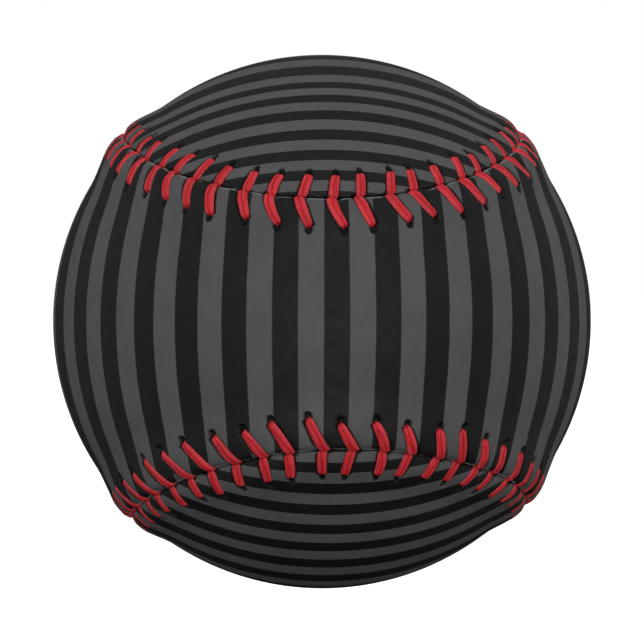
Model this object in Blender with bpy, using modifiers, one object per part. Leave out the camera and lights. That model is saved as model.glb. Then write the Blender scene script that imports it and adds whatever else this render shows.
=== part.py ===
"""A stitched baseball, in metres, with +Z up.

The origin is the ball's centre. Both cover panels have a figure-of-eight outline. Panel A's waist
faces -Y and its lobes lie at +X and -X. Panel B's waist faces +Y and its lobes lie at +Z and -Z.
From the centre outwards: cork, two rubber layers in halves, four windings, the cover and its thread.
"""

import math

import bmesh
import bpy
import numpy as np

MM = 0.001
GAP = 0.3 * MM  # between pieces that touch on the real ball

# Cover
BALL_RADIUS = 36.9 * MM  # outside of the leather, away from the seam
LEATHER_THICKNESS = 1.2 * MM
EDGE_TO_SEAM = 0.45 * MM  # half of the slit that the threads dive into
RIDGE_HEIGHT = 1.1 * MM  # how far the seam stands proud of the ball
RIDGE_TOP = 1.5 * MM  # from the seam line to where the ridge starts to fall
RIDGE_FOOT = 7.5 * MM  # from the seam line to where it has gone

# Seam line: its polar angle from -Y swings about 90 degrees, and its azimuth winds twice
WAIST_HALF_ANGLE = math.radians(24.06)
POLAR_SQUARENESS = 0.044
AZIMUTH_SWING = 0.3414
SEAM_SAMPLES = 7200

# Stitches
STITCHES = 108
HOLE_WIDTH = 1.2 * MM
HOLE_TO_SEAM = {"a": 3.9 * MM, "b": 3.0 * MM}
HOLE_LEAD = {"a": 1.1 * MM, "b": 0.8 * MM}  # along the seam, from the stitch's point to its hole
THREAD_RADIUS = 0.35 * MM
THREAD_ABOVE = 0.6 * MM  # from the leather's outside to the thread's centre
THREAD_BELOW = 0.5 * MM  # from the leather's inside to the thread's centre
ARM_SPREAD = {"a": -0.5 * MM, "b": 0.5 * MM}  # the two arms pass the slit side by side

# Panel mesh
RIM_COLUMNS = 56  # around the panel, inside the ridge, with one at each lobe's tip and side of the waist
ROW_STEP = math.radians(11)  # across the panel

# Layers inside the cover: inner and outer radius
CORK_RADIUS = 10.3 * MM
INNER_RUBBER = (10.6 * MM, 14.4 * MM)
OUTER_RUBBER = (14.7 * MM, 17.4 * MM)
GASKET_HALF_HEIGHT = 0.75 * MM
WINDINGS = {
    "winding_1_grey_wool": (17.7 * MM, 31.3 * MM),
    "winding_2_white_wool": (31.6 * MM, 33.1 * MM),
    "winding_3_grey_wool": (33.4 * MM, 34.3 * MM),
    "winding_4_finish_yarn": (34.6 * MM, 35.15 * MM),
}
YARN_TAIL_HOLE = 1.0 * MM  # radius of the pinhole where a layer's yarn is tucked in
TURN_STEPS = 24
ARC_STEPS = 12  # from pole to pole


def clear_scene():
    for obj in list(bpy.data.objects):
        bpy.data.objects.remove(obj, do_unlink=True)


def make_collection(name):
    collection = bpy.data.collections.new(name)
    bpy.context.scene.collection.children.link(collection)
    return collection


def make_material(name, colour, roughness):
    material = bpy.data.materials.new(name)
    material.use_nodes = True
    material.diffuse_color = (*colour, 1.0)
    shader = material.node_tree.nodes["Principled BSDF"]
    shader.inputs["Base Color"].default_value = (*colour, 1.0)
    shader.inputs["Roughness"].default_value = roughness
    shader.inputs["Metallic"].default_value = 0.0
    return material


def add_object(name, data, collection, material):
    obj = bpy.data.objects.new(name, data)
    data.materials.append(material)
    collection.objects.link(obj)
    return obj


def shade(mesh, sharp_angle=40):
    mesh.shade_smooth()
    mesh.set_sharp_from_angle(angle=math.radians(sharp_angle))


# The seam ---------------------------------------------------------------------------------------


def seam_directions(turn):
    """Unit vectors from the centre to the seam line, which closes after a turn of 4 pi."""
    swing = np.pi / 2 - WAIST_HALF_ANGLE
    polar = np.pi / 2 - swing * np.cos(turn) + POLAR_SQUARENESS * (np.cos(3 * turn) - np.cos(turn))
    azimuth = turn / 2 + AZIMUTH_SWING * np.sin(2 * turn)
    across = np.sin(polar) * np.sin(azimuth)
    up = np.sin(polar) * np.cos(azimuth)
    return np.stack([across, -np.cos(polar), up], axis=-1)


class Seam:
    """The seam line, measured along its length on the ball's surface."""

    def __init__(self):
        self.turns = np.linspace(0, 4 * np.pi, SEAM_SAMPLES + 1)
        points = seam_directions(self.turns) * BALL_RADIUS
        steps = np.linalg.norm(np.diff(points, axis=0), axis=1)
        self.distances = np.concatenate([[0.0], np.cumsum(steps)])
        self.length = self.distances[-1]
        self.pitch = self.length / STITCHES

    def point(self, along, to_side, radius):
        """A point this far along the seam, and this far over the ball from it: panel B's side is positive."""
        turn = np.interp(along % self.length, self.distances, self.turns)
        out = seam_directions(turn)
        ahead = seam_directions(turn + 1e-4) - seam_directions(turn - 1e-4)
        side = np.cross(out, ahead)
        side = side / np.linalg.norm(side)
        angle = to_side / BALL_RADIUS
        return (out * math.cos(angle) + side * math.sin(angle)) * radius

    def stitch(self, index):
        """Where a stitch's point lies. Panel A's holes fall at whole pitches from the seam's start."""
        return index * self.pitch - HOLE_LEAD["a"]


def ridge(to_seam):
    """How far the leather is raised at this distance from the seam."""
    share = (to_seam - RIDGE_TOP) / (RIDGE_FOOT - RIDGE_TOP)
    share = min(max(share, 0.0), 1.0)
    return RIDGE_HEIGHT * (1 - share * share * (3 - 2 * share))


# Cover panels -----------------------------------------------------------------------------------


def zip_rows(mesh, first, second):
    """Triangles between two rows of (place along the row, vertex), stepping along whichever row lags."""
    i, j = 0, 0
    while i < len(first) - 1 or j < len(second) - 1:
        if j == len(second) - 1:
            step_first = True
        elif i == len(first) - 1:
            step_first = False
        else:
            step_first = first[i][0] + first[i + 1][0] <= second[j][0] + second[j + 1][0]
        if step_first:
            mesh.faces.new((first[i][1], first[i + 1][1], second[j][1]))
            i += 1
        else:
            mesh.faces.new((first[i][1], second[j + 1][1], second[j][1]))
            j += 1


def closed_row(row, length):
    """The row with its first vertex again at the end."""
    return row + [(row[0][0] + length, row[0][1])]


def panel_row(mesh, seam, side, to_seam, places):
    """Vertices at one distance from the seam, on the ridge's surface."""
    radius = BALL_RADIUS + ridge(to_seam)
    return [(at, mesh.verts.new(seam.point(at, side * to_seam, radius))) for at in places]


def hole_rows(mesh, seam, panel, side):
    """The rows just inside and outside the needle holes, with the holes between them left open."""
    half = HOLE_WIDTH / 2
    places = []
    for index in range(STITCHES):
        centre = seam.stitch(index) + HOLE_LEAD[panel]
        places += [centre - half, centre + half]
    near = panel_row(mesh, seam, side, HOLE_TO_SEAM[panel] - half, places)
    far = panel_row(mesh, seam, side, HOLE_TO_SEAM[panel] + half, places)
    for index in range(1, 2 * STITCHES, 2):
        after = (index + 1) % (2 * STITCHES)
        mesh.faces.new((near[index][1], near[after][1], far[after][1], far[index][1]))
    return near, far


def across_row(mesh, left, right):
    """Vertices from one side of the panel to the other, on an arc about the ball's centre."""
    start = np.array(left.co) / BALL_RADIUS
    end = np.array(right.co) / BALL_RADIUS
    angle = math.acos(float(start @ end) / float(np.linalg.norm(start) * np.linalg.norm(end)))
    count = 2 * max(1, round(angle / ROW_STEP / 2))
    row = [(0.0, left)]
    for step in range(1, count):
        share = step / count
        point = start * math.sin((1 - share) * angle) + end * math.sin(share * angle)
        row.append((share, mesh.verts.new(point / math.sin(angle) * BALL_RADIUS)))
    return row + [(1.0, right)]


def fill_panel(mesh, rim):
    """Rows across the panel, from the tip of one lobe, through the waist, to the tip of the other."""
    previous = [(0.5, rim[0][1])]
    for index in range(1, RIM_COLUMNS // 2):
        row = across_row(mesh, rim[index][1], rim[-index][1])
        zip_rows(mesh, previous, row)
        previous = row
    zip_rows(mesh, previous, [(0.5, rim[RIM_COLUMNS // 2][1])])


def face_outwards(mesh):
    for face in mesh.faces:
        face.normal_update()
        if face.normal.dot(face.calc_center_median()) < 0:
            face.normal_flip()


def make_panel(panel, side, tip, seam, collection, material):
    """One leather panel: its outer surface, then Solidify inwards. tip is a lobe's end along the seam."""
    mesh = bmesh.new()
    edge = panel_row(mesh, seam, side, EDGE_TO_SEAM, [seam.stitch(i) for i in range(STITCHES)])
    near, far = hole_rows(mesh, seam, panel, side)
    zip_rows(mesh, closed_row(edge, seam.length), closed_row(near, seam.length))
    rim_step = seam.length / RIM_COLUMNS
    first = tip % rim_step
    rim = panel_row(mesh, seam, side, RIDGE_FOOT, [first + i * rim_step for i in range(RIM_COLUMNS)])
    zip_rows(mesh, closed_row(far, seam.length), closed_row(rim, seam.length))
    tip_index = round((tip - first) / rim_step)
    fill_panel(mesh, rim[tip_index:] + rim[:tip_index])
    face_outwards(mesh)
    data = bpy.data.meshes.new("cover_panel_" + panel)
    mesh.to_mesh(data)
    mesh.free()
    shade(data)
    obj = add_object("cover_panel_" + panel, data, collection, material)
    leather = obj.modifiers.new("leather", "SOLIDIFY")
    leather.thickness = LEATHER_THICKNESS
    leather.offset = -1.0
    return obj


# Thread -----------------------------------------------------------------------------------------


def stitch_points(seam, index, panel, side):
    """One arm, from its hole's foot, up over its panel, and down the slit to under the other panel."""
    hole_at = seam.stitch(index) + HOLE_LEAD[panel]
    slit_at = seam.stitch(index) + ARM_SPREAD[panel]
    to_side = side * HOLE_TO_SEAM[panel]
    leather = BALL_RADIUS + ridge(HOLE_TO_SEAM[panel])
    crest = BALL_RADIUS + ridge(0.0)
    under = LEATHER_THICKNESS + THREAD_BELOW
    return [
        seam.point(hole_at, to_side, leather - under),
        seam.point(hole_at, to_side, leather + THREAD_ABOVE),
        seam.point(slit_at, 0.0, crest + THREAD_ABOVE),
        seam.point(slit_at, 0.0, crest - under),
    ]


def make_thread(name, first_panel, seam, collection, material):
    """A thread works its way back round the seam, with an arm on each panel in turn."""
    sides = {"a": -1, "b": 1}
    other = {"a": "b", "b": "a"}
    panel = first_panel
    points = []
    for index in reversed(range(STITCHES)):
        points += stitch_points(seam, index, panel, sides[panel])
        panel = other[panel]
    curve = bpy.data.curves.new(name, "CURVE")
    curve.dimensions = "3D"
    curve.bevel_depth = THREAD_RADIUS
    curve.bevel_resolution = 0
    curve.use_fill_caps = True
    spline = curve.splines.new("POLY")
    spline.points.add(len(points) - 1)
    for target, point in zip(spline.points, points):
        target.co = (*point, 1.0)
    spline.use_cyclic_u = True
    return add_object(name, curve, collection, material)


# Layers inside ----------------------------------------------------------------------------------


def arc(radius, start_height, end_height, steps):
    """Profile points in the XZ plane on a circle about the origin, from one height to another.

    A profile's height becomes the distance along the ball's Y axis.
    """
    start = math.asin(start_height / radius)
    end = math.asin(end_height / radius)
    angles = np.linspace(start, end, steps + 1)
    return [(radius * math.cos(angle), 0.0, radius * math.sin(angle)) for angle in angles]


def on_axis(point):
    return (0.0, 0.0, point[2])


def make_turned(name, profile, collection, material):
    """A profile turned about Z, then laid over so that its axis is the ball's Y axis."""
    data = bpy.data.meshes.new(name)
    data.from_pydata(profile, [(i, i + 1) for i in range(len(profile) - 1)], [])
    obj = add_object(name, data, collection, material)
    obj.rotation_euler.x = -math.pi / 2
    turn = obj.modifiers.new("turn", "SCREW")
    turn.axis = "Z"
    turn.angle = 2 * math.pi
    turn.steps = TURN_STEPS
    turn.render_steps = TURN_STEPS
    turn.use_merge_vertices = True
    turn.merge_threshold = 0.00001
    return obj


def make_core(collection, material):
    profile = arc(CORK_RADIUS, CORK_RADIUS, -CORK_RADIUS, ARC_STEPS)
    profile[0] = on_axis(profile[0])
    profile[-1] = on_axis(profile[-1])
    return make_turned("cork_core", profile, collection, material)


def make_half_shell(name, radii, parting, at_back, collection, material):
    """Half of a rubber layer, open at its parting plane, which lies this far from the ball's centre."""
    inner, outer = radii
    outside = arc(outer, outer, parting, ARC_STEPS // 2)
    inside = arc(inner, inner, parting, ARC_STEPS // 2)
    outside[0] = on_axis(outside[0])
    inside[0] = on_axis(inside[0])
    profile = outside + inside[::-1]
    if not at_back:
        profile = [(x, y, -z) for x, y, z in reversed(profile)]
    return make_turned(name, profile, collection, material)


def make_gasket(collection, material):
    """The ring that joins the two halves of the inner rubber."""
    inner, outer = INNER_RUBBER
    top = GASKET_HALF_HEIGHT
    corners = [(outer, top), (outer, -top), (inner, -top), (inner, top), (outer, top)]
    profile = [(x, 0.0, z) for x, z in corners]
    return make_turned("gasket_ring", profile, collection, material)


def make_winding(name, radii, collection, material):
    """A wound layer: a hollow ball with one pinhole at the back."""
    inner, outer = radii
    outer_top = math.sqrt(outer**2 - YARN_TAIL_HOLE**2)
    inner_top = math.sqrt(inner**2 - YARN_TAIL_HOLE**2)
    outside = arc(outer, outer_top, -outer, ARC_STEPS)
    inside = arc(inner, inner_top, -inner, ARC_STEPS)
    outside[-1] = on_axis(outside[-1])
    inside[-1] = on_axis(inside[-1])
    return make_turned(name, inside[::-1] + outside, collection, material)


# The ball ---------------------------------------------------------------------------------------


def make_inside(collection):
    cork = make_material("cork", (0.45, 0.27, 0.13), 0.9)
    black_rubber = make_material("black_rubber", (0.03, 0.03, 0.03), 0.6)
    red_rubber = make_material("red_rubber", (0.35, 0.04, 0.03), 0.6)
    grey_wool = make_material("grey_wool", (0.28, 0.30, 0.33), 0.95)
    white_wool = make_material("white_wool", (0.75, 0.73, 0.68), 0.95)
    finish_yarn = make_material("finish_yarn", (0.82, 0.80, 0.75), 0.85)
    make_core(collection, cork)
    make_gasket(collection, red_rubber)
    layers = (
        ("inner_rubber_", INNER_RUBBER, GASKET_HALF_HEIGHT + GAP, black_rubber),
        ("outer_rubber_", OUTER_RUBBER, GAP / 2, red_rubber),
    )
    for name, radii, parting, rubber in layers:
        make_half_shell(name + "front", radii, parting, False, collection, rubber)
        make_half_shell(name + "back", radii, parting, True, collection, rubber)
    yarns = (grey_wool, white_wool, grey_wool, finish_yarn)
    for (name, radii), yarn in zip(WINDINGS.items(), yarns):
        make_winding(name, radii, collection, yarn)


def make_cover(collection):
    leather = make_material("leather", (0.055, 0.055, 0.055), 0.55)
    red_thread = make_material("red_thread", (0.30, 0.03, 0.04), 0.7)
    seam = Seam()
    make_panel("a", -1, seam.length / 4, seam, collection, leather)
    make_panel("b", 1, 0.0, seam, collection, leather)
    make_thread("thread_1", "a", seam, collection, red_thread)
    make_thread("thread_2", "b", seam, collection, red_thread)


def main():
    clear_scene()
    collection = make_collection("baseball")
    make_inside(collection)
    make_cover(collection)


main()
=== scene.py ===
"""The looks of a stitched baseball: striped leather, waxed thread and the layers inside.

Metres, +Z up, with the origin at the ball's centre. Panel A's waist faces the camera, at -Y, and
panel B's faces +Y. Places near the seam are given by the distance along it and the distance from
it, which is positive towards panel B. Both are measured over the ball.
"""

import math

import bmesh
import bpy
import numpy as np
from mathutils import Matrix, Vector

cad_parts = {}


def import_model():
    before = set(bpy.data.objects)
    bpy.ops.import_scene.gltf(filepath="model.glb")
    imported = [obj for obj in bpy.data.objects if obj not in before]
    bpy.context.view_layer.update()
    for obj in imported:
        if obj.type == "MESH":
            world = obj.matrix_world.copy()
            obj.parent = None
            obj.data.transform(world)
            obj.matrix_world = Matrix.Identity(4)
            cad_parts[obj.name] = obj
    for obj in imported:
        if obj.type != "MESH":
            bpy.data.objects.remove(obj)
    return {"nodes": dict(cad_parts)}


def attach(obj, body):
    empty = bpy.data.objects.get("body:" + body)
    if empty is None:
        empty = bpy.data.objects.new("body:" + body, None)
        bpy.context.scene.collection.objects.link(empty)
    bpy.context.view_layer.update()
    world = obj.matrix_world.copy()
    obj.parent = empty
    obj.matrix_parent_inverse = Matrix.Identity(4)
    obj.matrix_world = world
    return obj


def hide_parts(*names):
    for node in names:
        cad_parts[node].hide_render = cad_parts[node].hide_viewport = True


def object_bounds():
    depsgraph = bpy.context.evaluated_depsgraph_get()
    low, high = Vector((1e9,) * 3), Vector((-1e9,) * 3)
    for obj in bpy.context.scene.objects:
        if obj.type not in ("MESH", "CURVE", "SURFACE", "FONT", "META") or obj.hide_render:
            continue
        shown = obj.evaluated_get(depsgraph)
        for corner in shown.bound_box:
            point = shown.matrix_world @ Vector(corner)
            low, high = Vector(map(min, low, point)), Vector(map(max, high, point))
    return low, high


MM = 0.001

# Seam line: its polar angle from -Y swings about 90 degrees, and its azimuth winds twice
WAIST_HALF_ANGLE = math.radians(24.06)
POLAR_SQUARENESS = 0.044
AZIMUTH_SWING = 0.3414
SEAM_SAMPLES = 7200

# Leather
LEATHER_THICKNESS = 1.2 * MM
OUT_OF_ROUND = {"x": 0.005, "z": -0.003}  # share of the radius, at the ends of each axis
RIDGE_TOP = 1.5 * MM  # from the seam to where the ridge starts to fall
RIDGE_HEIGHT = {"a": 1.05 * MM, "b": 0.85 * MM}
RIDGE_FOOT = {"a": 8.2 * MM, "b": 6.8 * MM}
SEAM_DIP = {"a": 0.35 * MM, "b": 0.2 * MM}  # the lips turn down into the slit
SEAM_DIP_WIDTH = 1.1 * MM
PILLOW_HEIGHT = 0.1 * MM  # leather swells between neighbouring stitches
PILLOW_START = (0.1 * MM, 1.3 * MM)  # from the seam, where it starts to swell and is fully swollen
PILLOW_END = (-1.2 * MM, 1.2 * MM)  # the same from the hole, where that fades out
GROOVE_DEPTH = 0.36 * MM  # and is pressed down under them
GROOVE_WALL = (-0.08 * MM, 0.2 * MM)  # from an arm's edge
GROOVE_END = (-0.1 * MM, 0.3 * MM)  # from the hole
SHADOW_PLACE = 0.07 * MM  # a groove's painted shadow is darkest this far from the arm's edge
SHADOW_WIDTH = 0.11 * MM
SHADOW_GAIN = 0.85

# Stitches
STITCHES = 108
SIDES = {"a": -1, "b": 1}
OTHER = {"a": "b", "b": "a"}
STITCH_START = -1.0 * MM  # along the seam
CLOSE_SPACING = 1.5 * MM  # stitches drift by this much, so that they're closer beside panel A's waist
SPACING_OFFSET = 0.25 * MM
HOLE_TO_SEAM = {"a": 3.55 * MM, "b": 2.85 * MM}
HOLE_LEAD = {"a": 1.3 * MM, "b": 0.7 * MM}  # along the seam, from the stitch's point to its hole
STRAIGHT_STITCH = 99  # the stitches round this one have no lead
STRAIGHT_REACH = 1.8  # stitches to either side
STRAIGHT_SHIFT = 0.9 * MM  # and they lie farther along the seam
BACKWARD_STITCH = 53  # those round this one lie farther back
BACKWARD_REACH = 2.5
BACKWARD_SHIFT = 0.5 * MM
STRAY_STITCH = 56  # and round this one the seam strays towards panel A
STRAY_REACH = 4.0
STRAY_SHIFT = 0.5 * MM
STRAY_FADE = 2.0 * MM  # from the seam to where the leather lies as if it hadn't strayed
LONG_ARMS = {50: 0.6, 55: 1.0, 56: 1.1, 57: 0.5, 58: 0.3, 59: 1.0, 60: 1.0, 61: 0.9}  # mm added on panel A
ARM_SPREAD = {"a": -0.17 * MM, "b": 0.2 * MM}  # the two arms enter the slit side by side
ARM_BOW = {"a": 0.12 * MM, "b": 0.05 * MM}
ARM_WIDTHS = {
    "a": ((0.0, 0.12, 0.35, 0.7, 0.9, 1.0), (0.88, 1.06, 1.12, 1.06, 0.96, 0.86)),  # from slit to hole
    "b": ((0.0, 0.12, 0.35, 0.7, 0.9, 1.0), (1.0, 1.05, 1.06, 1.05, 1.0, 0.86)),
}
UNEVENNESS = 0.17 * MM
HOLE_UNEVENNESS = 1.4  # of that, for where a hole lies along the seam
BOW_UNEVENNESS = 0.6  # of that, for an arm's bow
LINE_WAVER = 0.09 * MM  # of the seam line
TIGHTNESS_CHANGE = 0.7  # of the slit
HEIGHT_WAVER = 0.05 * MM  # of the leather beside the seam
HOLE_RADII = (0.42 * MM, 0.3 * MM)  # along the seam, and across it
HOLE_BEYOND = 0.06 * MM  # from the thread's end to the hole's middle
PIT_BEYOND = 0.56 * MM  # the leather is pulled down beyond each hole
PIT_RADII = (0.44 * MM, 0.56 * MM)
PIT_WALL = (0.55, 1.25)  # of those radii
PIT_DEPTH = 0.5 * MM
# painted shade in the pit beyond each hole, as a gain
PIT_SHADE = 2.2
SLIT_HALF_WIDTH = 0.05 * MM
SLIT_OPENING = 0.1 * MM  # added where the threads go down
SLIT_OPEN_LENGTH = 1.1 * MM
SLIT_SHADE = 0.9  # painted shade of the lip, where the threads go down
LIP_PRESS = 0.3  # of a groove's depth, where an arm crosses the lip

# Thread
THREAD_HALF_WIDTH = 0.6 * MM
THREAD_HALF_HEIGHT = 0.27 * MM
PLY_CENTRE = 0.32  # of the half width: a thread is two plies laid side by side
PLY_HALF_WIDTH = 0.68
PLY_POINTS = 8  # around each ply
RINGS_PER_SPAN = 4
THREAD_LIFT = {"a": -0.2 * MM, "b": -0.24 * MM}  # the thread's centre over the leather it lies on
THREAD_UNDER = 0.5 * MM  # and below the inside of the leather that it passes under
DIVE_WIDTHS = (0.58, 0.67, 0.78)  # of its full width, from under a hole to over it
UNDER_WIDTH = 0.8
ARM_PLACES = (0.93, 0.75, 0.55, 0.35, 0.17)  # shares of the way from the seam to the hole
AT_SLIT = {"a": -0.2 * MM, "b": 0.3 * MM}  # panel A's arms lie over the ends of panel B's
THREAD_TWIST = 0.05  # radians, for each of four waves
TWIST_CYCLES = (108, 187, 263, 391)

# Panel mesh
HALF_COLUMNS = (0.22, 0.45, 0.64, 0.8, 1.05, 1.45)  # mm, to either side of an arm's middle
LIP_ROWS = (  # mm from the panel's edge, mm up, whether pressed, whether painted black as shade, and how pale the cut is
    (0.0, -1.2, False, True, 0.0),
    (0.0, -0.6, True, True, 0.0),
    (0.0, -0.28, True, False, 0.0),
    (0.03, -0.12, True, False, 1.0),
    (0.1, -0.03, True, False, 1.0),
    (0.22, 0.0, True, False, 0.6),
)
HOLE_ROWS = np.array((-0.5, -0.26, -0.1, 0.06, 0.22, 0.38, 0.56, 0.74, 0.92, 1.12, 1.4)) * MM
FIRST_ROW = 0.4 * MM
APPROACH_ROWS = 9
BEYOND_ROWS = 3
INSIDE_ROWS = (0, 4)  # besides those round the holes and the last one
HOLE_REACH = 0.9  # cells nearer to a hole's middle than this share of its radii are left out
FOLLOW_REACH = 0.8 * MM  # rows this near to a hole or nearer move with it
BAND_WIDTH = 5.8 * MM
RIM_ROWS = np.array((6.3, 7.1, 7.9, 8.7)) * MM
RIM_COLUMNS = 360
ROW_STEP = math.radians(1.9)  # across the panel

# Printed stripes: half of a dark and light pair, in degrees, at each angle from the panel's middle
STRIPE_WIDTHS = {
    "a": ((0, 4.8), (30, 4.9), (50, 5.0), (65, 6.0), (75, 9.0), (110, 5.6), (124, 2.8)),
    "b_up": ((0, 4.8), (110, 5.9), (118, 5.6), (124, 2.6), (130, 2.6), (138, 2.9), (150, 2.3)),
    "b_down": ((0, 4.8), (105, 5.6), (115, 4.7), (130, 3.0), (144, 2.7), (152, 2.3)),
}
PRINT_TURN = {"a": (-2.79, -0.17), "b": (-1.83, -0.65)}  # degrees about Z, then Y, as the camera sees it
PRINT_FADE = (0.03, 0.5)  # cosines of the angle from the front, where the shift starts and is whole
STEEPEST_SLOPE = 1.8
PRINT_SHIFT = {"a": 0.5, "b": 1.0}  # panel A's stripes bend over its edge by half as much as they could
STRIPE_FLARE = 2.72e-5  # panel A's stripes close up this much for each square degree from the equator
STRIPE_FLATTENING = (-0.45e-3, 3.62e-3)  # panel B's stripes bow by this much per square degree
FLATTENING_HEIGHTS = (40, 70)  # at these angles up from the front
FLATTENING_MOST = 1.5  # and above them by no more than this share of the way
FLATTENING_FADE = (80, 110)

# Camera
CAMERA_DISTANCE = 239.85 * MM
CAMERA_LENS = 96.1
CAMERA_SHIFT = -0.0006
BALL_TURN = (0.802, -1.222, 4.065)  # degrees about X, then Y, then Z, as the camera sees the ball

FLOOR_DROP = 28 * MM  # below the ball, so that its shadow falls clear of it
FLOOR_HALF_SIZE = 6.0
UPPER_LIGHT = (-0.7, 1.0, 0.0, 1.25)  # two heights in the surround, and how bright it is at each
FRONT_LIGHT = (-0.8, 0.9, 1.3, 0.25)  # the same from the front to the back, as a factor
SUNS = {  # direction, strength and softness in degrees
    "front_light": ((0.0, 1.0, 0.15), 2.45, 45),
    "left_light": ((1.0, 0.3, 0.15), 0.78, 110),
    "right_light": ((-1.0, 0.3, 0.15), 0.72, 110),
}


# Helpers ----------------------------------------------------------------------------------------


def smooth_step(low, high, value):
    share = np.clip((value - low) / (high - low), 0.0, 1.0)
    return share * share * (3 - 2 * share)


def ball_turn():
    """How the ball is turned, from the frame's axes to the camera's."""
    turn = Matrix.Identity(4)
    for axis, angle in zip("XYZ", BALL_TURN):
        turn = Matrix.Rotation(math.radians(angle), 4, axis) @ turn
    return turn


def add_mesh(name, vertices, faces):
    mesh = bpy.data.meshes.new(name)
    mesh.from_pydata(vertices.tolist(), [], faces)
    obj = bpy.data.objects.new(name, mesh)
    bpy.context.scene.collection.objects.link(obj)
    return obj


def add_attribute(obj, name, values):
    attribute = obj.data.attributes.new(name, "FLOAT", "POINT")
    attribute.data.foreach_set("value", np.asarray(values, np.float32))


def face_outwards(obj, sharp_angle):
    mesh = bmesh.new()
    mesh.from_mesh(obj.data)
    loose = [vertex for vertex in mesh.verts if not vertex.link_faces]
    bmesh.ops.delete(mesh, geom=loose, context="VERTS")
    bmesh.ops.recalc_face_normals(mesh, faces=mesh.faces)
    if mesh.calc_volume(signed=True) < 0:
        bmesh.ops.reverse_faces(mesh, faces=mesh.faces)
    mesh.to_mesh(obj.data)
    mesh.free()
    obj.data.shade_smooth()
    obj.data.set_sharp_from_angle(angle=math.radians(sharp_angle))


# The seam ---------------------------------------------------------------------------------------


def seam_directions(turn):
    """Unit vectors from the centre to the seam line, which closes after a turn of 4 pi."""
    swing = np.pi / 2 - WAIST_HALF_ANGLE
    polar = np.pi / 2 - swing * np.cos(turn) + POLAR_SQUARENESS * (np.cos(3 * turn) - np.cos(turn))
    azimuth = turn / 2 + AZIMUTH_SWING * np.sin(2 * turn)
    across = np.sin(polar) * np.sin(azimuth)
    up = np.sin(polar) * np.cos(azimuth)
    return np.stack([across, -np.cos(polar), up], axis=-1)


class Seam:
    """The seam line, measured along its length on the ball's surface."""

    def __init__(self, ball_radius):
        self.radius = ball_radius
        self.turns = np.linspace(0, 4 * np.pi, SEAM_SAMPLES + 1)
        points = seam_directions(self.turns) * ball_radius
        steps = np.linalg.norm(np.diff(points, axis=0), axis=1)
        self.distances = np.concatenate([[0.0], np.cumsum(steps)])
        self.length = self.distances[-1]
        self.pitch = self.length / STITCHES

    def axes(self, along):
        """Outwards, forwards and towards panel B, at a distance along the seam."""
        turn = np.interp(np.mod(along, self.length), self.distances, self.turns)
        out = seam_directions(turn)
        ahead = seam_directions(turn + 1e-4) - seam_directions(turn - 1e-4)
        ahead /= np.linalg.norm(ahead, axis=-1, keepdims=True)
        side = np.cross(out, ahead)
        side /= np.linalg.norm(side, axis=-1, keepdims=True)
        return out, ahead, side

    def direction(self, along, to_side):
        out, _, side = self.axes(along)
        angle = np.asarray(to_side)[..., None] / self.radius
        return out * np.cos(angle) + side * np.sin(angle)

    def wave(self, along, cycles, random):
        """Smooth unevenness between -1 and 1 that closes on itself."""
        total = np.zeros_like(along)
        for count in cycles:
            total += np.sin(2 * np.pi * (count * along / self.length + random.random()))
        return total / len(cycles)


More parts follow.
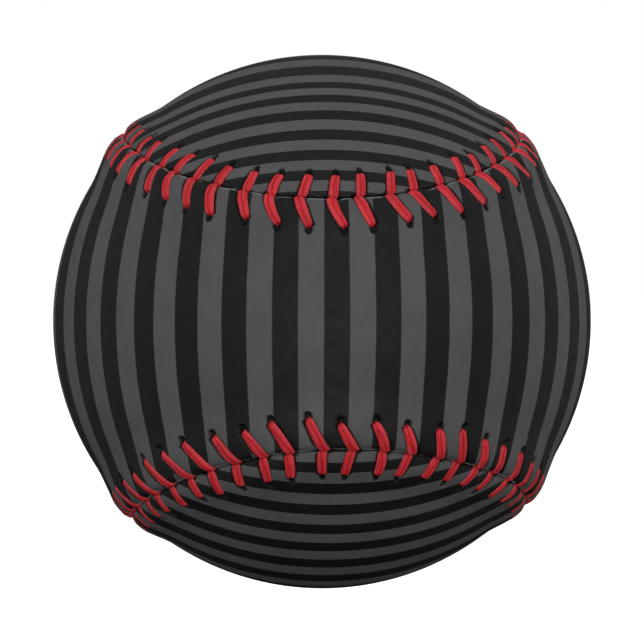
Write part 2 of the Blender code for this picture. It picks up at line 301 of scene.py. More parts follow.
class Sewing:
    """Where the stitches lie, with the unevenness of hand sewing."""

    def __init__(self, seam, random):
        self.seam = seam
        uneven = random.normal(0.0, UNEVENNESS, (6, STITCHES)).clip(-2 * UNEVENNESS, 2 * UNEVENNESS)
        count = np.arange(STITCHES)
        straight = np.exp(-(((count - STRAIGHT_STITCH) / STRAIGHT_REACH) ** 2))
        backward = np.exp(-(((count - BACKWARD_STITCH) / BACKWARD_REACH) ** 2))
        self.point = self.regular(count) + uneven[0] + STRAIGHT_SHIFT * straight - BACKWARD_SHIFT * backward
        lead = {p: HOLE_LEAD[p] * (1 - straight) for p in "ab"}
        self.hole_along = {
            p: self.point + lead[p] + HOLE_UNEVENNESS * uneven[i + 1] for i, p in enumerate("ab")
        }
        self.hole_out = {p: HOLE_TO_SEAM[p] + uneven[i + 3] for i, p in enumerate("ab")}
        for index, extra in LONG_ARMS.items():
            self.hole_out["a"][index] += extra * MM
        self.slit_along = {p: self.point + ARM_SPREAD[p] for p in "ab"}
        self.bow = {p: ARM_BOW[p] + BOW_UNEVENNESS * uneven[5] for p in "ab"}
        samples = np.linspace(0, seam.length, SEAM_SAMPLES + 1)
        self.samples = samples
        self.line = LINE_WAVER * seam.wave(samples, (108, 173, 61), random)
        self.line -= STRAY_SHIFT * np.exp(-(((samples / seam.pitch - STRAY_STITCH) / STRAY_REACH) ** 2))
        self.tightness = 1 + TIGHTNESS_CHANGE * seam.wave(samples, (97, 143, 211), random)
        self.height = HEIGHT_WAVER * seam.wave(samples, (23, 41, 67), random)

    def regular(self, index):
        """Where a stitch would be without the unevenness."""
        turn = 2 * np.pi * index / STITCHES
        drift = CLOSE_SPACING * np.sin(2 * turn) + SPACING_OFFSET * np.cos(turn)
        return index * self.seam.pitch + STITCH_START - drift

    def wrapped(self, values, index):
        """Values along the seam for stitches counted past either end."""
        turns, inside = np.divmod(index, STITCHES)
        return values[inside] + turns * self.seam.length

    def arm_along(self, panel, index, to_seam):
        """Distance along the seam of the middle of an arm, at a distance from the seam."""
        inside = np.mod(index, STITCHES)
        share = np.clip(to_seam / self.hole_out[panel][inside], 0.0, 1.0)
        slit = self.wrapped(self.slit_along[panel], index)
        hole = self.wrapped(self.hole_along[panel], index)
        return slit + (hole - slit) * share - 4 * self.bow[panel][inside] * share * (1 - share)

    def arm_width(self, panel, index, to_seam):
        """Half width of an arm at a distance from the seam."""
        share = np.clip(to_seam / self.hole_out[panel][np.mod(index, STITCHES)], 0.0, 1.0)
        return THREAD_HALF_WIDTH * np.interp(share, *ARM_WIDTHS[panel])

    def at(self, values, along):
        return np.interp(np.mod(along, self.seam.length), self.samples, values)

    def strayed(self, along, to_side):
        """The distance from the nominal seam line of a place at this distance from the real one."""
        return to_side + self.at(self.line, along) * (1 - smooth_step(0, STRAY_FADE, np.abs(to_side)))

    def slit_share(self, along):
        """How open the slit is, from 0 between stitches to 1 where the threads go down."""
        guess = along / self.seam.pitch
        nearest = np.round(guess + (along - self.regular(guess)) / self.seam.pitch).astype(int)
        gap = np.abs(along - self.wrapped(self.point, nearest)) / SLIT_OPEN_LENGTH
        return np.clip(1 - gap**4, 0.0, 1.0)

    def lip(self, panel, along):
        """Signed distance of the panel's edge from the nominal seam line."""
        opened = self.slit_share(along)
        half = SLIT_HALF_WIDTH * self.at(self.tightness, along) + SLIT_OPENING * opened
        return self.at(self.line, along) + SIDES[panel] * half


def base_radius(seam, direction):
    stretch = OUT_OF_ROUND["x"] * direction[..., 0] ** 2 + OUT_OF_ROUND["z"] * direction[..., 2] ** 2
    return seam.radius * (1 + stretch)


def ridge(panel, to_seam):
    """How far the leather is raised at this distance from the seam."""
    height = RIDGE_HEIGHT[panel] * (1 - smooth_step(RIDGE_TOP, RIDGE_FOOT[panel], to_seam))
    return height - SEAM_DIP[panel] * (1 - smooth_step(0.0, SEAM_DIP_WIDTH, to_seam))


# Leather panels ---------------------------------------------------------------------------------


class PanelMesh:
    """Vertices and faces of one leather panel, with shade painted into its creases and the paleness of its
    cut edge.
    """

    def __init__(self, panel, seam, sewing):
        self.panel, self.seam, self.sewing = panel, seam, sewing
        self.side = SIDES[panel]
        self.vertices, self.crease, self.raw_edge = [], [], []
        self.faces = []
        self.count = 0

    def add(self, points, crease=0.0, raw_edge=0.0):
        """Adds an array of points and returns their numbers in the same shape."""
        shape = points.shape[:-1]
        number = int(np.prod(shape))
        self.vertices.append(points.reshape(-1, 3))
        self.crease.append(np.broadcast_to(crease, shape).reshape(-1))
        self.raw_edge.append(np.broadcast_to(raw_edge, shape).reshape(-1))
        self.count += number
        return np.arange(self.count - number, self.count).reshape(shape)

    def row(self, to_seam, places, depth):
        """One row away from the stitches, with its places along the seam."""
        direction = self.seam.direction(places, np.full_like(places, self.side * to_seam))
        radius = base_radius(self.seam, direction) + ridge(self.panel, to_seam) - depth
        return self.add(direction * radius[:, None])

    def zip_rows(self, first, second, first_at, second_at):
        """Triangles between two open rows, stepping along whichever row lags."""
        i = j = 0
        while i < len(first) - 1 or j < len(second) - 1:
            first_lags = j == len(second) - 1 or (
                i < len(first) - 1 and first_at[i] + first_at[i + 1] <= second_at[j] + second_at[j + 1]
            )
            if first_lags:
                self.faces.append((first[i], first[i + 1], second[j]))
                i += 1
            else:
                self.faces.append((first[i], second[j + 1], second[j]))
                j += 1

    def zip_closed(self, first, second, first_at, second_at):
        """The same between two rows that each go once round the seam."""
        length = self.seam.length
        rows = [np.append(row, row[0]) for row in (first, second)]
        places = [np.append(at, at[0] + length) for at in (first_at, second_at)]
        self.zip_rows(*rows, *places)

    def grid(self, numbers, kept=slice(None)):
        """Quads over a grid whose columns close on themselves, all of them or only those kept."""
        after = np.roll(numbers, -1, axis=1)
        quads = np.stack([numbers[:-1], after[:-1], after[1:], numbers[1:]], axis=-1)
        self.faces.extend(map(tuple, quads[kept].reshape(-1, 4).tolist()))


def stitch_columns(seam):
    """Each column's stitch and its offset along the seam from the middle of that stitch's arm."""
    half = np.array(HALF_COLUMNS) * MM
    columns = np.concatenate([-half[::-1], [0.0], half, [seam.pitch / 2]])
    return np.repeat(np.arange(STITCHES), len(columns)), np.tile(columns, STITCHES)


def band_rows(panel):
    """The distance from the seam of each row from lip to rim, and how it follows the needle holes."""
    hole = HOLE_TO_SEAM[panel]
    approach = np.linspace(FIRST_ROW, hole + HOLE_ROWS[0], APPROACH_ROWS + 1)[:-1]
    beyond = np.linspace(hole + HOLE_ROWS[-1], BAND_WIDTH, BEYOND_ROWS + 1)[1:]
    rows = np.concatenate([approach, hole + HOLE_ROWS, beyond])
    knots = (FIRST_ROW, hole - FOLLOW_REACH, hole + FOLLOW_REACH, BAND_WIDTH)
    follow = np.interp(rows, knots, (0, 1, 1, 0))
    return rows, follow


def round_off_holes(offsets, from_hole):
    """Cells inside the needle holes go, and the vertices round them move onto an ellipse."""
    reach = np.hypot(offsets / HOLE_RADII[0], from_hole / HOLE_RADII[1])
    pairs = reach + np.roll(reach, -1, axis=1)
    middle = (pairs[:-1] + pairs[1:]) / 4
    between_stitches = (np.roll(offsets, -1, axis=1) < offsets)[:-1]
    gone = (middle < HOLE_REACH) & ~between_stitches
    touched = np.zeros(reach.shape, bool)
    kept_too = np.zeros(reach.shape, bool)
    for found, target in ((gone, touched), (~gone, kept_too)):
        target[:-1] |= found | np.roll(found, 1, axis=1)
        target[1:] |= found | np.roll(found, 1, axis=1)
    scale = np.where(touched & kept_too, 1 / np.maximum(reach, 0.2), 1.0)
    return offsets * scale, from_hole * scale, gone


def pressed_leather(seam, to_seam, from_hole, beside, width):
    """Height and painted shade of leather that is pressed in under an arm and round its hole, and swells
    between.
    """
    on_arm = 1 - smooth_step(*GROOVE_END, from_hole)
    groove = (1 - smooth_step(*GROOVE_WALL, beside - width)) * on_arm
    from_pit = from_hole + HOLE_BEYOND - PIT_BEYOND
    pit = 1 - smooth_step(*PIT_WALL, np.hypot(beside / PIT_RADII[0], from_pit / PIT_RADII[1]))
    pillow = np.sin(np.pi * np.clip(beside / seam.pitch, 0, 0.5)) ** 2
    pillow *= (1 - smooth_step(*PILLOW_END, from_hole)) * smooth_step(*PILLOW_START, to_seam)
    relief = PILLOW_HEIGHT * pillow - np.maximum(GROOVE_DEPTH * groove, PIT_DEPTH * pit)
    # Painted shade: a shadow along each arm's edge, the groove under it and the pit beyond its hole are
    # darkened
    shadow = np.exp(-(((beside - width - SHADOW_PLACE) / SHADOW_WIDTH) ** 2)) * on_arm
    return relief, np.clip(SHADOW_GAIN * shadow + PIT_SHADE * pit + groove, 0, 1)


def add_lips(mesh, along):
    """Rows from the inside of the leather up and over the cut edge."""
    seam, sewing, panel = mesh.seam, mesh.sewing, mesh.panel
    edge = mesh.side * sewing.lip(panel, along)
    slit = sewing.slit_share(along)
    rows = []
    for inward, height, pressed, black, cut in LIP_ROWS:
        place = edge + inward * MM
        direction = seam.direction(along, mesh.side * place)
        from_line = np.maximum(place - mesh.side * sewing.at(sewing.line, along), 0)
        radius = base_radius(seam, direction) + ridge(panel, from_line)
        radius += sewing.at(sewing.height, along) + height * MM
        radius -= LIP_PRESS * GROOVE_DEPTH * slit * pressed
        # Painted shade: rows down in the slit are black, and the lip darkens where the threads go down
        dark = 1.0 if black else np.clip(SLIT_SHADE * slit, 0, 1)
        pale = (1 - slit) * cut * (panel == "a")
        rows.append(mesh.add(direction * radius[:, None], crease=dark, raw_edge=pale))
    return np.stack(rows)


def add_band(mesh):
    """The stitched strip beside the seam, outside and inside, with a hole at each stitch."""
    seam, sewing, panel = mesh.seam, mesh.sewing, mesh.panel
    index, offset = stitch_columns(seam)
    toward = np.sign(offset).astype(int)
    blend = np.abs(offset) / seam.pitch
    hole_out = sewing.hole_out[panel] + HOLE_BEYOND
    local_hole = hole_out[index] * (1 - blend) + hole_out[(index + toward) % STITCHES] * blend
    rows, follow = band_rows(panel)
    to_seam = rows[:, None] + follow[:, None] * (local_hole - HOLE_BEYOND - HOLE_TO_SEAM[panel])[None, :]
    offsets = np.broadcast_to(offset, to_seam.shape)
    offsets, from_hole, gone = round_off_holes(offsets, to_seam - local_hole)
    to_seam = local_hole + from_hole

    # Places along the seam: columns follow the arms, so that grooves keep crisp sides
    here = sewing.arm_along(panel, index, to_seam)
    next_one = sewing.arm_along(panel, index + toward, to_seam)
    along = here + np.abs(offsets) * (next_one - here) / seam.pitch
    direction = seam.direction(along, sewing.strayed(along, mesh.side * to_seam))
    uneven = sewing.at(sewing.height, along) * (1 - smooth_step(0.6 * BAND_WIDTH, BAND_WIDTH, to_seam))
    radius = base_radius(seam, direction) + ridge(panel, to_seam) + uneven

    width = sewing.arm_width(panel, index, to_seam)
    relief, crease = pressed_leather(seam, to_seam, from_hole, np.abs(offsets), width)

    lips = add_lips(mesh, along[0])
    outside = mesh.add(direction * (radius + relief)[..., None], crease=crease)
    mesh.grid(lips)
    mesh.grid(np.stack([lips[-1], outside[0]]))
    mesh.grid(outside, ~gone)

    # The inside keeps the rows round the holes and a few others
    hole_rows = range(APPROACH_ROWS, APPROACH_ROWS + len(HOLE_ROWS) - 1)
    inside_rows = [*INSIDE_ROWS, *hole_rows, len(rows) - 1]
    inside_radius = base_radius(seam, direction) + ridge(panel, to_seam) - LEATHER_THICKNESS
    # The inside is painted black as shade, so the holes look dark
    inside = mesh.add((direction * inside_radius[..., None])[inside_rows], crease=1.0)
    inside_gone = gone[inside_rows[:-1]] & (np.diff(inside_rows) == 1)[:, None]
    mesh.grid(inside, ~inside_gone)
    mesh.grid(np.stack([lips[0], inside[0]]))
    add_hole_walls(mesh, outside, inside, inside_rows, gone)
    return outside[-1], inside[-1], along[-1]


def add_hole_walls(mesh, outside, inside, inside_rows, gone):
    """Quads from each hole's rim outside to its rim inside."""
    inside_row = {row: number for number, row in enumerate(inside_rows)}
    columns = gone.shape[1]
    for row, column in zip(*np.nonzero(gone)):
        after = (column + 1) % columns
        edges = (
            ((row - 1, column), (row, column), (row, after)),
            ((row + 1, column), (row + 1, column), (row + 1, after)),
            ((row, column - 1), (row, column), (row + 1, column)),
            ((row, after), (row, after), (row + 1, after)),
        )
        for (other_row, other_column), start, end in edges:
            if gone[other_row, other_column % columns]:
                continue
            mesh.faces.append(
                (
                    outside[start],
                    outside[end],
                    inside[inside_row[end[0]], end[1]],
                    inside[inside_row[start[0]], start[1]],
                )
            )


def add_across(mesh, start, end, depth):
    """New vertices across the panel between two rim points, on an arc about the ball's centre."""
    start, end = start / np.linalg.norm(start), end / np.linalg.norm(end)
    angle = math.acos(float(np.clip(start @ end, -1, 1)))
    count = max(2, round(angle / ROW_STEP))
    share = (np.arange(1, count) / count)[:, None]
    direction = (start * np.sin((1 - share) * angle) + end * np.sin(share * angle)) / math.sin(angle)
    radius = base_radius(mesh.seam, direction) - depth
    return mesh.add(direction * radius[:, None])


def add_middle(mesh, band_edge, band_along, depth, tip):
    """The rest of one surface: rows round the rim, then rows from one lobe's tip to the other's."""
    length = mesh.seam.length
    step = length / RIM_COLUMNS
    places = np.arange(RIM_COLUMNS) * step
    order = np.argsort(np.mod(band_along, length))
    previous, previous_at = band_edge[order], np.mod(band_along, length)[order]
    for to_seam in RIM_ROWS:
        row = mesh.row(to_seam, places, depth)
        mesh.zip_closed(previous, row, previous_at, places)
        previous, previous_at = row, places
    rim = np.roll(previous, -round(tip / step))
    points = np.concatenate(mesh.vertices)
    row, row_at = rim[:1], np.array([0.5])
    for number in range(1, RIM_COLUMNS // 2):
        left, right = rim[number], rim[-number]
        across = add_across(mesh, points[left], points[right], depth)
        next_row = np.concatenate([[left], across, [right]])
        next_at = np.linspace(0, 1, len(next_row))
        mesh.zip_rows(row, next_row, row_at, next_at)
        row, row_at = next_row, next_at
    mesh.zip_rows(row, rim[RIM_COLUMNS // 2 :][:1], row_at, np.array([0.5]))


def stripes_passed(law, angle):
    """How many stripes lie between the panel's middle and an angle, in degrees."""
    knots, widths = zip(*STRIPE_WIDTHS[law])
    angles = np.linspace(0, 180, 3601)
    rate = 1 / np.interp(angles, knots, widths)
    passed = np.concatenate([[0.0], np.cumsum((rate[1:] + rate[:-1]) / 2 * np.diff(angles))])
    return np.interp(angle, angles, passed)


def print_directions(panel, seam, points):
    """Unit vectors, in the camera's axes, to where the print lies on a ball with no raised edge.

    The stripes stay straight over the raised edge as seen from the front, so a raised point takes the
    print from farther out. The shift fades out towards the sides of the ball.
    """
    distance = np.linalg.norm(points, axis=1)
    direction = points / distance[:, None]
    raised = distance - base_radius(seam, direction)
    direction = direction @ np.array(ball_turn().to_3x3()).T
    outwards = direction * (1, 0, 1)
    sine = np.linalg.norm(outwards, axis=1)
    outwards /= np.maximum(sine, 1e-6)[:, None]
    cosine = -direction[:, 1]
    view = CAMERA_DISTANCE / seam.radius
    slope = sine * view / np.maximum(cosine * view - 1, 0.1)
    share = PRINT_SHIFT[panel] * smooth_step(*PRINT_FADE, cosine)
    angle = np.arctan2(sine, cosine) + raised / seam.radius * np.minimum(slope, STEEPEST_SLOPE) * share
    return outwards * np.sin(angle)[:, None] - np.cos(angle)[:, None] * (0, 1, 0)


def stripe_phase(panel, seam, points):
    """A number that rises by one from each stripe to the next. The first, round zero, is dark."""
    turn = Matrix.Identity(4)
    for axis, angle in zip("ZY", PRINT_TURN[panel]):
        turn = Matrix.Rotation(math.radians(angle), 4, axis) @ turn
    across, back, up = np.array(turn.to_3x3()) @ print_directions(panel, seam, points).T
    if panel == "a":
        height = np.degrees(np.arcsin(np.clip(up, -1, 1)))
        angle = np.abs(np.degrees(np.arctan2(across, -back)))
        return stripes_passed("a", angle * (1 - STRIPE_FLARE * height**2))
    height = np.degrees(np.arctan2(np.abs(up), -back))
    side = np.degrees(np.arcsin(np.clip(across, -1, 1)))
    start, end = FLATTENING_HEIGHTS
    share = np.clip((height - start) / (end - start), 0, FLATTENING_MOST)
    flattening = STRIPE_FLATTENING[0] + (STRIPE_FLATTENING[1] - STRIPE_FLATTENING[0]) * share
    front = 1 - smooth_step(*FLATTENING_FADE, height)
    angle = 180 - (height - flattening * front * side**2)
    return np.where(up > 0, stripes_passed("b_up", angle), stripes_passed("b_down", angle))


def make_panel(panel, tip, seam, sewing):
    mesh = PanelMesh(panel, seam, sewing)
    outside, inside, along = add_band(mesh)
    add_middle(mesh, outside, along, 0.0, tip)
    add_middle(mesh, inside, along, LEATHER_THICKNESS, tip)
    vertices = np.concatenate(mesh.vertices)
    faces = [tuple(int(v) for v in face) for face in mesh.faces]
    obj = add_mesh("leather_panel_" + panel, vertices, faces)
    add_attribute(obj, "stripe", stripe_phase(panel, seam, vertices))
    add_attribute(obj, "crease", np.concatenate(mesh.crease))
    add_attribute(obj, "raw_edge", np.concatenate(mesh.raw_edge))
    face_outwards(obj, 50)
    return obj


# Thread -----------------------------------------------------------------------------------------


def thread_controls(sewing, index, panel):
    """(along, to_side, height over the leather, width, lean) down one stitch, from hole to next hole.

    The lean is the arm's own slant along the seam for each step away from it.
    """
    side = SIDES[panel]
    hole = sewing.hole_out[panel][index]
    hole_along = sewing.hole_along[panel][index]
    slit_along = sewing.slit_along[panel][index]
    lift = THREAD_LIFT[panel]
    lean = side * (hole_along - slit_along) / hole
    next_panel = OTHER[panel]
    next_along = float(sewing.wrapped(sewing.hole_along[next_panel], np.array(index - 1)))
    next_out = -side * sewing.hole_out[next_panel][(index - 1) % STITCHES]
    under = -LEATHER_THICKNESS - THREAD_UNDER
    controls = [
        (hole_along, side * (hole + 0.04 * MM), under * 0.8, DIVE_WIDTHS[0], lean),
        (hole_along, side * (hole + 0.02 * MM), lift - 0.6 * MM, DIVE_WIDTHS[1], lean),
        (hole_along, side * (hole - 0.04 * MM), lift - 0.2 * MM, DIVE_WIDTHS[2], lean),
    ]
    for share in ARM_PLACES:
        to_seam = share * hole
        along = float(sewing.arm_along(panel, np.array(index), np.array(to_seam)))
        controls.append((along, side * to_seam, lift, np.interp(share, *ARM_WIDTHS[panel]), lean))
    at_slit = AT_SLIT[panel]
    tuck = {"a": 0.0, "b": 0.06 * MM}[panel]
    controls += [
        (slit_along, at_slit, lift - tuck, 0.88, 0.3 * lean),
        (slit_along, at_slit - side * 0.14 * MM, lift - 0.34 * MM, 0.82, 0.0),
        (slit_along - 0.06 * MM, at_slit - side * 0.17 * MM, -0.95 * MM, UNDER_WIDTH, 0.0),
        (slit_along - 0.35 * MM, -side * 0.3 * MM, under, UNDER_WIDTH, 0.0),
        (0.5 * (slit_along + next_along), 0.55 * next_out, under - 0.05 * MM, UNDER_WIDTH, 0.0),
        (next_along, next_out + side * 0.2 * MM, under, UNDER_WIDTH, 0.0),
    ]
    return controls


def catmull_rom(points, steps):
    """A smooth closed curve through the points, with this many samples from each to the next."""
    before, after, beyond = np.roll(points, 1, 0), np.roll(points, -1, 0), np.roll(points, -2, 0)
    curve = []
    for step in range(steps):
        t = step / steps
        curve.append(
            0.5
            * (
                2 * points
                + (after - before) * t
                + (2 * before - 5 * points + 4 * after - beyond) * t**2
                + (3 * points - before - 3 * after + beyond) * t**3
            )
        )
    return np.stack(curve, axis=1).reshape(-1, points.shape[1])


def ply_profile():
    """Points round two plies lying side by side, as shares of the half width and half height."""
    notch = math.acos(-PLY_CENTRE / PLY_HALF_WIDTH)
    angles = np.linspace(notch, -notch, PLY_POINTS + 1)[:-1]
    right = np.stack([PLY_CENTRE + PLY_HALF_WIDTH * np.cos(angles), np.sin(angles)], axis=1)
    return np.concatenate([right, -right])


def make_thread(name, first_panel, seam, sewing, random):
    """A thread works its way back round the seam, with an arm on each panel in turn."""
    controls = []
    panel = first_panel
    for index in reversed(range(STITCHES)):
        for along, to_side, height, width, lean in thread_controls(sewing, index, panel):
            over = "a" if to_side < 0 else "b"
            direction = seam.direction(np.array(along), sewing.strayed(along, np.array(to_side)))
            leather = base_radius(seam, direction) + ridge(over, abs(to_side))
            leather += sewing.at(sewing.height, along)
            _, ahead, aside = seam.axes(np.array(along))
            controls.append((*(direction * (leather + height)), *(ahead - lean * aside), width))
        panel = OTHER[panel]
    curve = catmull_rom(np.array(controls), RINGS_PER_SPAN)
    centre, flat, width = curve[:, :3], curve[:, 3:6], curve[:, 6]
    forward = np.roll(centre, -1, 0) - np.roll(centre, 1, 0)
    forward /= np.linalg.norm(forward, axis=1, keepdims=True)
    wide = flat - forward * (flat * forward).sum(1, keepdims=True)
    wide /= np.linalg.norm(wide, axis=1, keepdims=True)
    thick = np.cross(forward, wide)
    length = np.concatenate([[0.0], np.cumsum(np.linalg.norm(np.diff(centre, axis=0), axis=1))])
    steps = len(centre)
    wobble = np.zeros(steps)
    for cycles in TWIST_CYCLES:
        wobble += THREAD_TWIST * np.sin(2 * np.pi * (cycles * np.arange(steps) / steps + random.random()))
    profile = ply_profile()
    turned_wide = wide * np.cos(wobble)[:, None] + thick * np.sin(wobble)[:, None]
    turned_thick = thick * np.cos(wobble)[:, None] - wide * np.sin(wobble)[:, None]
    half_width = THREAD_HALF_WIDTH * width
    points = (
        centre[:, None]
        + turned_wide[:, None] * (profile[None, :, :1] * half_width[:, None, None])
        + turned_thick[:, None] * profile[None, :, 1:] * THREAD_HALF_HEIGHT
    )
    around = len(profile)
    numbers = np.arange(steps * around).reshape(steps, around)
    on, after = np.roll(numbers, -1, axis=0), np.roll(numbers, -1, axis=1)
    quads = np.stack([numbers, after, np.roll(on, -1, axis=1), on], axis=-1).reshape(-1, 4)
    obj = add_mesh(name, points.reshape(-1, 3), [tuple(quad) for quad in quads.tolist()])
    add_attribute(obj, "across", np.tile(profile[:, 0], steps))
    add_attribute(obj, "run", np.repeat(length, around) / MM)
    face_outwards(obj, 80)
    print(name, "is", round(float(length[-1]), 3), "m long")
    return obj


# Materials --------------------------------------------------------------------------------------


class Shader:
    """A material's node tree, built by name."""

    def __init__(self, name):
        self.material = bpy.data.materials.new(name)
        self.material.use_nodes = True
        self.tree = self.material.node_tree
        self.surface = self.tree.nodes["Principled BSDF"]
        self.position = self.node("TexCoord").outputs["Object"]

    def node(self, kind, inputs=None, **settings):
        node = self.tree.nodes.new("ShaderNode" + kind)
        for key, value in settings.items():
            setattr(node, key, value)
        for key, value in (inputs or {}).items():
            self.feed(node.inputs[key], value)
        return node

    def feed(self, socket, value):
        if isinstance(value, bpy.types.NodeSocket):
            self.tree.links.new(value, socket)
        else:
            socket.default_value = value

    def math(self, operation, first, second=0.0, clamp=False):
        node = self.node("Math", {0: first, 1: second}, operation=operation, use_clamp=clamp)
        return node.outputs[0]

    def map(self, value, low, high, to_low=0.0, to_high=1.0):
        inputs = {"Value": value, "From Min": low, "From Max": high, "To Min": to_low, "To Max": to_high}
        return self.node("MapRange", inputs, interpolation_type="SMOOTHSTEP").outputs["Result"]

    def mix(self, share, first, second, blend="MIX"):
        inputs = {0: share, 6: first, 7: second}
        return self.node("Mix", inputs, data_type="RGBA", blend_type=blend).outputs[2]

    def attribute(self, name):
        return self.node("Attribute", attribute_name=name).outputs["Fac"]

    def noise(self, scale, detail=3.0, roughness=0.5, vector=None):
        inputs = {"Vector": vector or self.position, "Scale": scale}
        inputs.update({"Detail": detail, "Roughness": roughness})
        return self.node("TexNoise", inputs).outputs["Fac"]

    def along(self, run, rate, offset):
        """Coordinates that change along a thread at this rate."""
        return self.node("CombineXYZ", {0: self.math("MULTIPLY", run, rate), 1: offset, 2: 0.0}).outputs[0]

    def cells(self, scale, feature="F1", vector=None):
        inputs = {"Vector": vector or self.position, "Scale": scale}
        return self.node("TexVoronoi", inputs, feature=feature).outputs["Distance"]

    def bump(self, height, strength, distance):
        inputs = {"Height": height, "Strength": strength, "Distance": distance}
        self.feed(self.surface.inputs["Normal"], self.node("Bump", inputs).outputs[0])

    def set(self, **values):
        for key, value in values.items():
            self.feed(self.surface.inputs[key.replace("_", " ")], value)


def leather_material(name):
    """Printed leather: dark and grey stripes, fine grain, painted shade in the creases, grooves, pits and
    slit, and a pale cut edge.
    """
    shader = Shader(name)
    wander = shader.map(shader.noise(900, 1.0), 0.3, 0.7, -0.006, 0.006)
    phase = shader.math("ADD", shader.attribute("stripe"), wander)
    wave = shader.math("COSINE", shader.math("MULTIPLY", phase, math.pi))
    dark = shader.map(wave, -0.09, 0.09)
    stripes = shader.mix(dark, (0.073, 0.073, 0.073, 1), (0.0062, 0.0062, 0.0062, 1))
    mottle = shader.map(shader.noise(160, 5.0, 0.6), 0.3, 0.7, 0.93, 1.06)
    speckle = shader.map(shader.noise(2600, 2.0, 0.6), 0.25, 0.75, 0.95, 1.05)
    tone = shader.math("MULTIPLY", mottle, speckle)
    toned = shader.node("VectorMath", {0: stripes, "Scale": tone}, operation="SCALE").outputs[0]
    # Painted shade: the mesh's shade attribute takes the colour near black in creases, grooves, pits, the
    # slit and the inside
    crease = shader.attribute("crease")
    with_painted_shade = shader.mix(shader.map(crease, 0.1, 0.95, 0.0, 0.98), toned, (0.0008, 0.0008, 0.0008, 1))
    patches = shader.map(shader.noise(420, 2.0), 0.35, 0.55)
    pale = shader.math("MULTIPLY", shader.attribute("raw_edge"), patches)
    colour = shader.mix(pale, with_painted_shade, (0.19, 0.2, 0.2, 1))
    grain = shader.math("ADD", shader.cells(2300, "SMOOTH_F1"), shader.noise(5200, 3.0, 0.6))
    shader.bump(grain, 0.16, 0.02 * MM)
    rough = shader.map(shader.noise(900, 3.0), 0.3, 0.7, 0.52, 0.62)
    shader.set(Base_Color=colour, Roughness=rough, Specular_IOR_Level=0.14)
    return shader.material


def thread_material():
    """Waxed red thread: two plies with painted shade in the line between them, a painted highlight along
    their outer edges and fine fibres along each.
    """
    shader = Shader("waxed_thread")
    across = shader.attribute("across")
    run = shader.attribute("run")
    fibres = shader.noise(7.0, 4.0, 0.65, shader.along(run, 0.5, across))
    streaks = 1.0
    for number, (middle, reach) in enumerate(((-0.05, 0.35), (0.4, 0.5))):
        wave = shader.noise(1.0, 2.0, 0.5, shader.along(run, 0.2, 3.7 * number))
        wander = shader.map(wave, 0.3, 0.7, middle - reach, middle + reach)
        beside = shader.math("ABSOLUTE", shader.math("SUBTRACT", across, wander))
        streaks = shader.math("MULTIPLY", streaks, shader.map(beside, 0.0, 0.32, 0.25 * number, 1.0))
    # Painted shade in the groove where the two plies meet
    groove = shader.map(shader.math("ABSOLUTE", across), 0.02, 0.22, 0.86, 1.0)
    red = shader.mix(streaks, (0.44, 0.003, 0.011, 1), (0.54, 0.034, 0.044, 1))
    # Painted highlight: the plies' outer edges are lighter and pinker
    rim = shader.map(shader.math("ABSOLUTE", across), 0.6, 1.0, 0.0, 0.6)
    red = shader.mix(rim, red, (0.56, 0.07, 0.08, 1))
    tone = shader.math("MULTIPLY", groove, shader.map(fibres, 0.3, 0.7, 0.66, 1.2))
    tone = shader.math("MULTIPLY", tone, shader.map(shader.noise(260, 2.0), 0.3, 0.7, 0.86, 1.1))
    colour = shader.node("VectorMath", {0: red, "Scale": tone}, operation="SCALE").outputs[0]
    shader.bump(fibres, 0.35, 0.05 * MM)
    rough = shader.map(fibres, 0.3, 0.7, 0.46, 0.62)
    shader.set(Base_Color=colour, Roughness=rough, Specular_IOR_Level=0.15)
    return shader.material


def yarn_material(name, colour, shade, strand, fuzz):
    """Wound yarn: strands that cross each other, each with its own tone."""
    shader = Shader(name)
    warp = shader.node("TexNoise", {"Vector": shader.position, "Scale": 60.0, "Detail": 2.0})
    summed = {0: shader.position, 1: warp.outputs["Color"]}
    bent = shader.node("VectorMath", summed, operation="ADD").outputs[0]
    layers = []
    for number, turn in enumerate(((0.4, 0.9, 0.2), (1.2, -0.5, 0.8))):
        turned = shader.node("Mapping", {"Vector": shader.position, "Rotation": turn}).outputs[0]
        inputs = {"Vector": turned, "Scale": strand, "Distortion": 2.0 + number}
        inputs.update({"Detail": 2.0, "Detail Scale": 1.5})
        layers.append(shader.node("TexWave", inputs, wave_type="BANDS").outputs["Fac"])
    over = shader.map(shader.noise(140, 3.0, vector=bent), 0.45, 0.55)
    first = shader.math("MULTIPLY", layers[0], over)
    second = shader.math("MULTIPLY", layers[1], shader.math("SUBTRACT", 1.0, over))
    strands = shader.math("ADD", first, second)
    hairs = shader.noise(3200, 4.0, 0.7)
    tone = shader.math("MULTIPLY", strands, shader.map(hairs, 0.3, 0.7, 0.7, 1.1), clamp=True)
    shader.bump(shader.math("ADD", strands, shader.math("MULTIPLY", hairs, 0.3)), 0.8, 0.3 * MM)
    shader.set(Base_Color=shader.mix(tone, shade, colour), Roughness=0.92, Specular_IOR_Level=0.15)
    shader.set(Sheen_Weight=fuzz, Sheen_Roughness=0.5)
    return shader.material


def rubber_material(name, colour):
    """Moulded rubber: a faint haze, flow marks and fine pits."""
    shader = Shader(name)
    haze = shader.map(shader.noise(240, 5.0, 0.6), 0.3, 0.7)
    dusty = tuple(0.7 * part + 0.06 for part in colour[:3]) + (1,)
    pits = shader.cells(900)
    shader.bump(shader.math("ADD", pits, shader.noise(2600, 3.0)), 0.25, 0.08 * MM)
    shader.set(Base_Color=shader.mix(haze, colour, dusty), Roughness=shader.map(haze, 0.0, 1.0, 0.45, 0.68))
    shader.set(Specular_IOR_Level=0.35)
    return shader.material


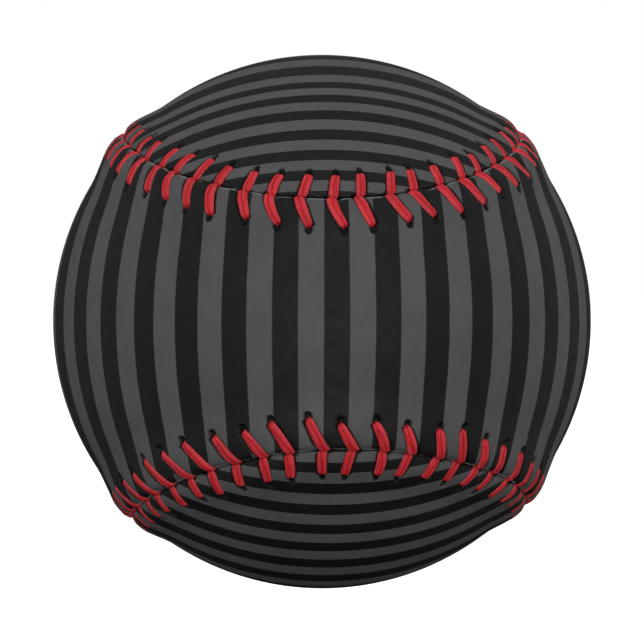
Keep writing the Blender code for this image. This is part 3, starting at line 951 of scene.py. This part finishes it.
def cork_material():
    """Pressed cork: granules of several browns with dark gaps."""
    shader = Shader("cork")
    granule = shader.node("TexVoronoi", {"Vector": shader.position, "Scale": 620.0}, feature="F1")
    tint = shader.node("SeparateColor", {0: granule.outputs["Color"]}).outputs[0]
    browns = shader.mix(tint, (0.22, 0.11, 0.045, 1), (0.5, 0.31, 0.15, 1))
    gaps = shader.map(shader.cells(620, "DISTANCE_TO_EDGE"), 0.0, 0.09)
    shader.bump(shader.math("ADD", gaps, shader.noise(2400, 3.0)), 0.6, 0.2 * MM)
    shader.set(Base_Color=shader.mix(gaps, (0.05, 0.025, 0.012, 1), browns), Roughness=0.9)
    shader.set(Specular_IOR_Level=0.2)
    return shader.material


def dress_nodes(nodes):
    """Materials for the layers inside, which keep their shape from the frame."""
    grey_wool = yarn_material("grey_wool", (0.3, 0.32, 0.35, 1), (0.07, 0.075, 0.085, 1), 900.0, 0.4)
    materials = {
        "cork_core": cork_material(),
        "gasket_ring": rubber_material("red_rubber", (0.35, 0.03, 0.025, 1)),
        "inner_rubber": rubber_material("black_rubber", (0.02, 0.02, 0.02, 1)),
        "outer_rubber": rubber_material("outer_red_rubber", (0.38, 0.035, 0.03, 1)),
        "winding_1": grey_wool,
        "winding_2": yarn_material("white_wool", (0.78, 0.76, 0.7, 1), (0.35, 0.33, 0.28, 1), 1000.0, 0.35),
        "winding_3": grey_wool,
        "winding_4": yarn_material("finish_yarn", (0.82, 0.79, 0.72, 1), (0.4, 0.37, 0.31, 1), 1500.0, 0.2),
    }
    for start, material in materials.items():
        for name, node in nodes.items():
            if name.startswith(start):
                node.data.materials.clear()
                node.data.materials.append(material)


# Stage ------------------------------------------------------------------------------------------


def add_camera():
    data = bpy.data.cameras.new("camera")
    data.lens = CAMERA_LENS
    data.sensor_width = 36
    data.shift_y = CAMERA_SHIFT
    camera = bpy.data.objects.new("camera", data)
    bpy.context.scene.collection.objects.link(camera)
    facing = Matrix.Translation((0, -CAMERA_DISTANCE, 0)) @ Matrix.Rotation(math.pi / 2, 4, "X")
    camera.matrix_world = ball_turn().inverted() @ facing
    bpy.context.scene.camera = camera


def add_world():
    """A white surround that lights softly, from above and in front more than from below and behind."""
    world = bpy.data.worlds.new("studio")
    bpy.context.scene.world = world
    world.use_nodes = True
    tree = world.node_tree
    tree.nodes.clear()
    seen = tree.nodes.new("ShaderNodeBackground")
    lit = tree.nodes.new("ShaderNodeBackground")
    choose = tree.nodes.new("ShaderNodeMixShader")
    path = tree.nodes.new("ShaderNodeLightPath")
    place = tree.nodes.new("ShaderNodeTexCoord")
    split = tree.nodes.new("ShaderNodeSeparateXYZ")
    upper = tree.nodes.new("ShaderNodeMapRange")
    front = tree.nodes.new("ShaderNodeMapRange")
    both = tree.nodes.new("ShaderNodeMath")
    both.operation = "MULTIPLY"
    output = tree.nodes.new("ShaderNodeOutputWorld")
    seen.inputs["Strength"].default_value = 1.0
    seen.inputs["Color"].default_value = (1, 1, 1, 1)
    for node, values in ((upper, UPPER_LIGHT), (front, FRONT_LIGHT)):
        for key, value in zip(("From Min", "From Max", "To Min", "To Max"), values):
            node.inputs[key].default_value = value
    links = (
        (place.outputs["Generated"], split.inputs[0]),
        (split.outputs["Z"], upper.inputs["Value"]),
        (split.outputs["Y"], front.inputs["Value"]),
        (upper.outputs["Result"], both.inputs[0]),
        (front.outputs["Result"], both.inputs[1]),
        (both.outputs[0], lit.inputs["Strength"]),
        (path.outputs["Is Camera Ray"], choose.inputs[0]),
        (lit.outputs[0], choose.inputs[1]),
        (seen.outputs[0], choose.inputs[2]),
        (choose.outputs[0], output.inputs["Surface"]),
    )
    for start, end in links:
        tree.links.new(start, end)


def add_sun(name, toward, strength, softness):
    """A soft light that shines in the direction toward."""
    data = bpy.data.lights.new(name, "SUN")
    data.energy = strength
    data.angle = math.radians(softness)
    sun = bpy.data.objects.new(name, data)
    bpy.context.scene.collection.objects.link(sun)
    sun.rotation_euler = Vector(toward).to_track_quat("-Z", "Y").to_euler()


def add_floor(height):
    """A pale studio floor. It isn't seen by the light that bounces, so the ball keeps its dark base."""
    shader = Shader("floor")
    tone = shader.map(shader.noise(3.0, 3.0), 0.3, 0.7, 0.93, 0.97)
    colour = shader.node("CombineColor", {0: tone, 1: tone, 2: tone}).outputs[0]
    shader.set(Base_Color=colour, Roughness=0.9, Specular_IOR_Level=0.1)
    shader.set(Emission_Color=(1, 1, 1, 1), Emission_Strength=0.6)
    corners = np.array([(-1, -1, 0), (1, -1, 0), (1, 1, 0), (-1, 1, 0)]) * FLOOR_HALF_SIZE + (0, 0, height)
    floor = add_mesh("floor", corners, [(0, 1, 2, 3)])
    floor.data.materials.append(shader.material)
    floor.visible_diffuse = False
    floor.visible_glossy = False


def main():
    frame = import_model()
    cad_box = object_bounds()
    low, high = cad_box
    bpy.context.scene.view_settings.view_transform = "Standard"
    add_camera()
    add_world()
    for name, (toward, strength, softness) in SUNS.items():
        add_sun(name, toward, strength, softness)

    # The frame's box is the bare leather along Y, where both waists lie
    seam = Seam((high.y - low.y) / 2)
    random = np.random.default_rng(108)
    sewing = Sewing(seam, random)

    for panel, tip in (("a", seam.length / 4), ("b", 0.0)):
        leather = make_panel(panel, tip, seam, sewing)
        leather.data.materials.append(leather_material("cover_leather_" + panel))
        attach(leather, "root")
        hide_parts("cover_panel_" + panel)
    waxed = thread_material()
    for number, first_panel in ((1, "a"), (2, "b")):
        thread = make_thread(f"waxed_thread_{number}", first_panel, seam, sewing, random)
        thread.data.materials.append(waxed)
        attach(thread, "root")
        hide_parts(f"thread_{number}")
    dress_nodes(frame["nodes"])
    add_floor(low.z - FLOOR_DROP)


main()
